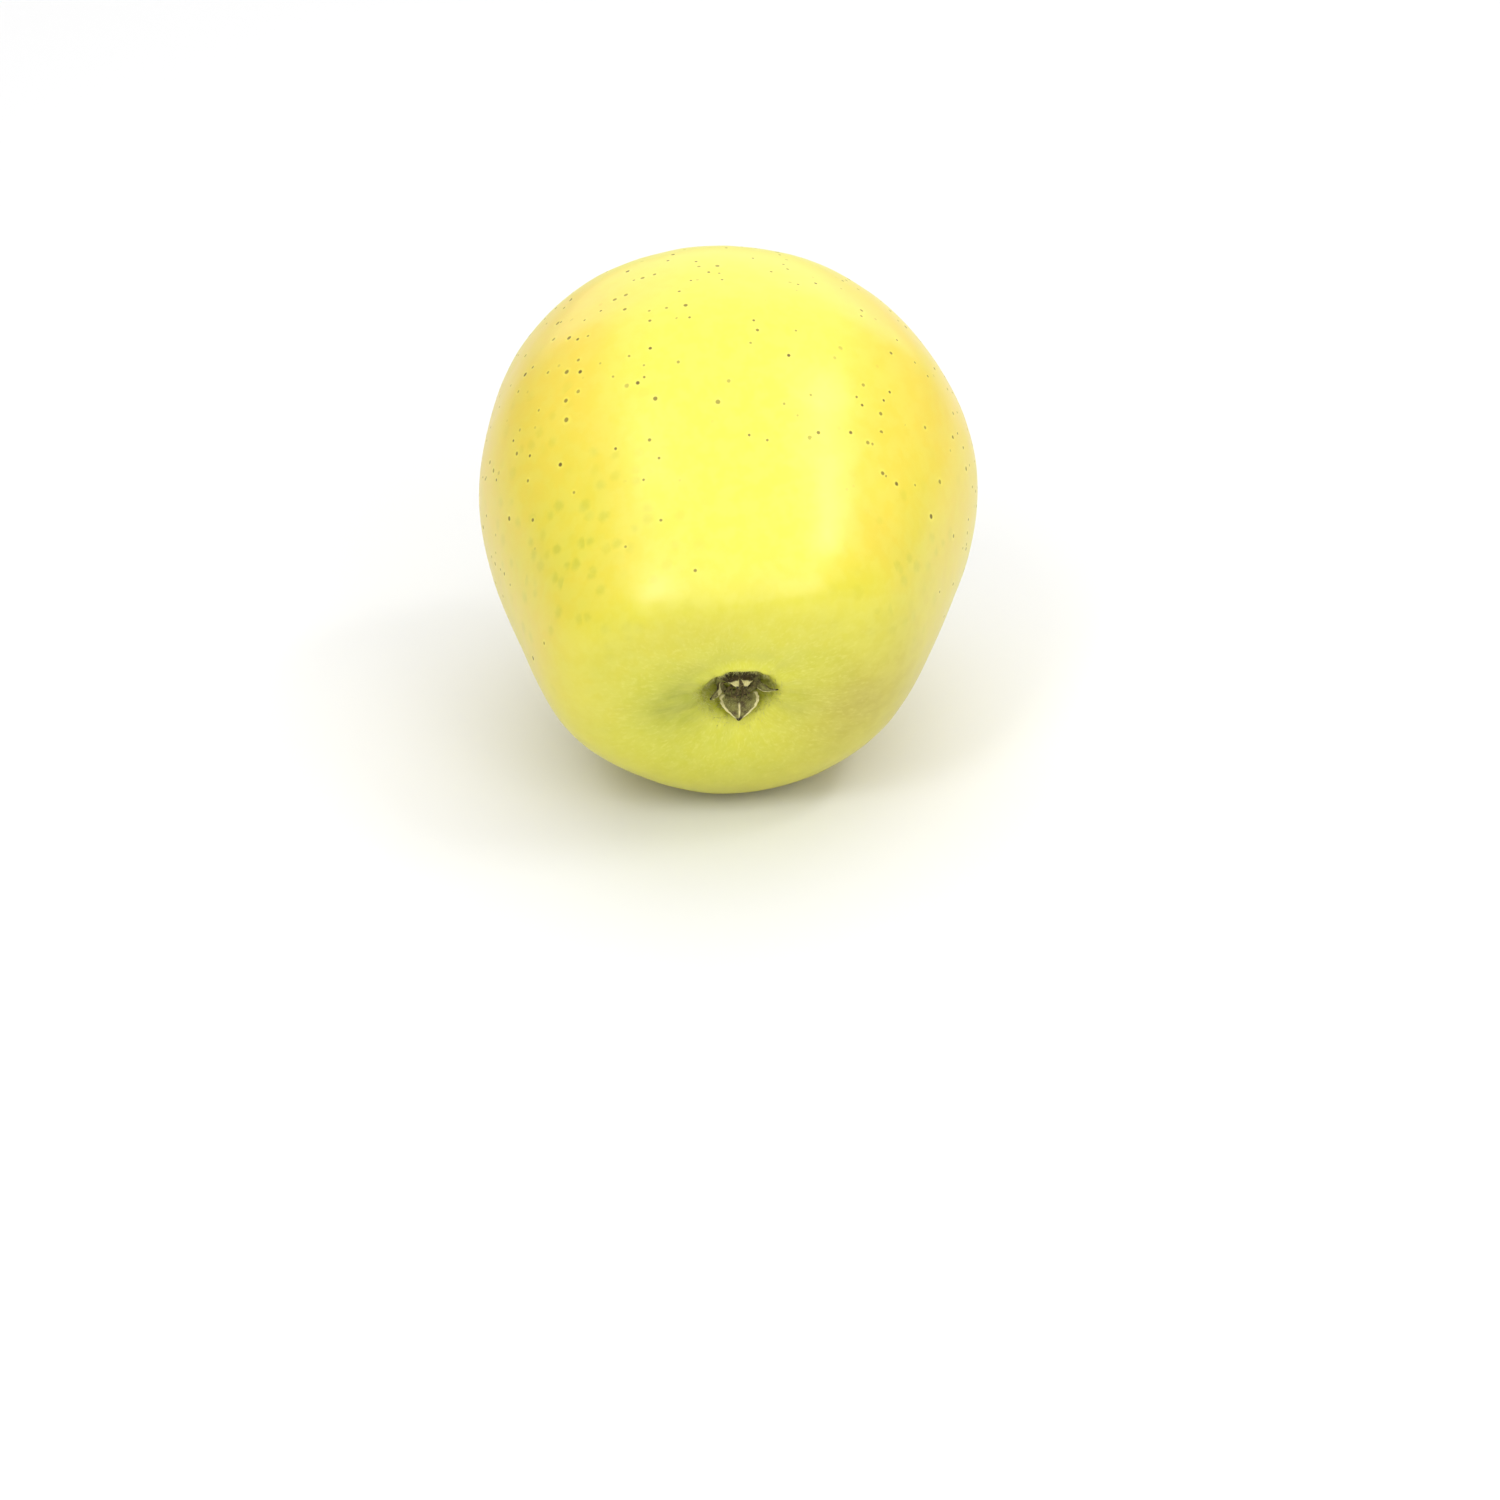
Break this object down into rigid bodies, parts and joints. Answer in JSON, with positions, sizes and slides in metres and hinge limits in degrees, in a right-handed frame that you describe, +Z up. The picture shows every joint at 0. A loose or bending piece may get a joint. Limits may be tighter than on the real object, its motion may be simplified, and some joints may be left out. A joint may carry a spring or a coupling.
{
  "type": "whole yellow dessert apple",
  "caption": "Whole yellow dessert apple lying on its side, with a lobed crown, dried calyx in the eye and a short woody stalk.",
  "frame": {"origin": "middle of the small flat spot that the fruit rests on", "axes": "+Z up from the surface that the fruit lies on, -Y towards the side that the eye faces, +X to the right seen from that side"},
  "size_m": [0.0753, 0.0828, 0.0747],
  "materials": {
    "apple_skin": "waxy skin, soft gloss",
    "dried_calyx": "dry and matt",
    "dried_stamens": "dry and matt",
    "stalk_wood": "bare bark"
  },
  "bodies": {
    "root": {"fruit_body": "apple_skin", "calyx_cup": "dried_calyx", "sepal_1": "dried_calyx", "sepal_2": "dried_calyx", "sepal_3": "dried_calyx", "sepal_4": "dried_calyx", "sepal_5": "dried_calyx", "stamen_tuft": "dried_stamens", "stalk": "stalk_wood"}
  },
  "joints": []
}
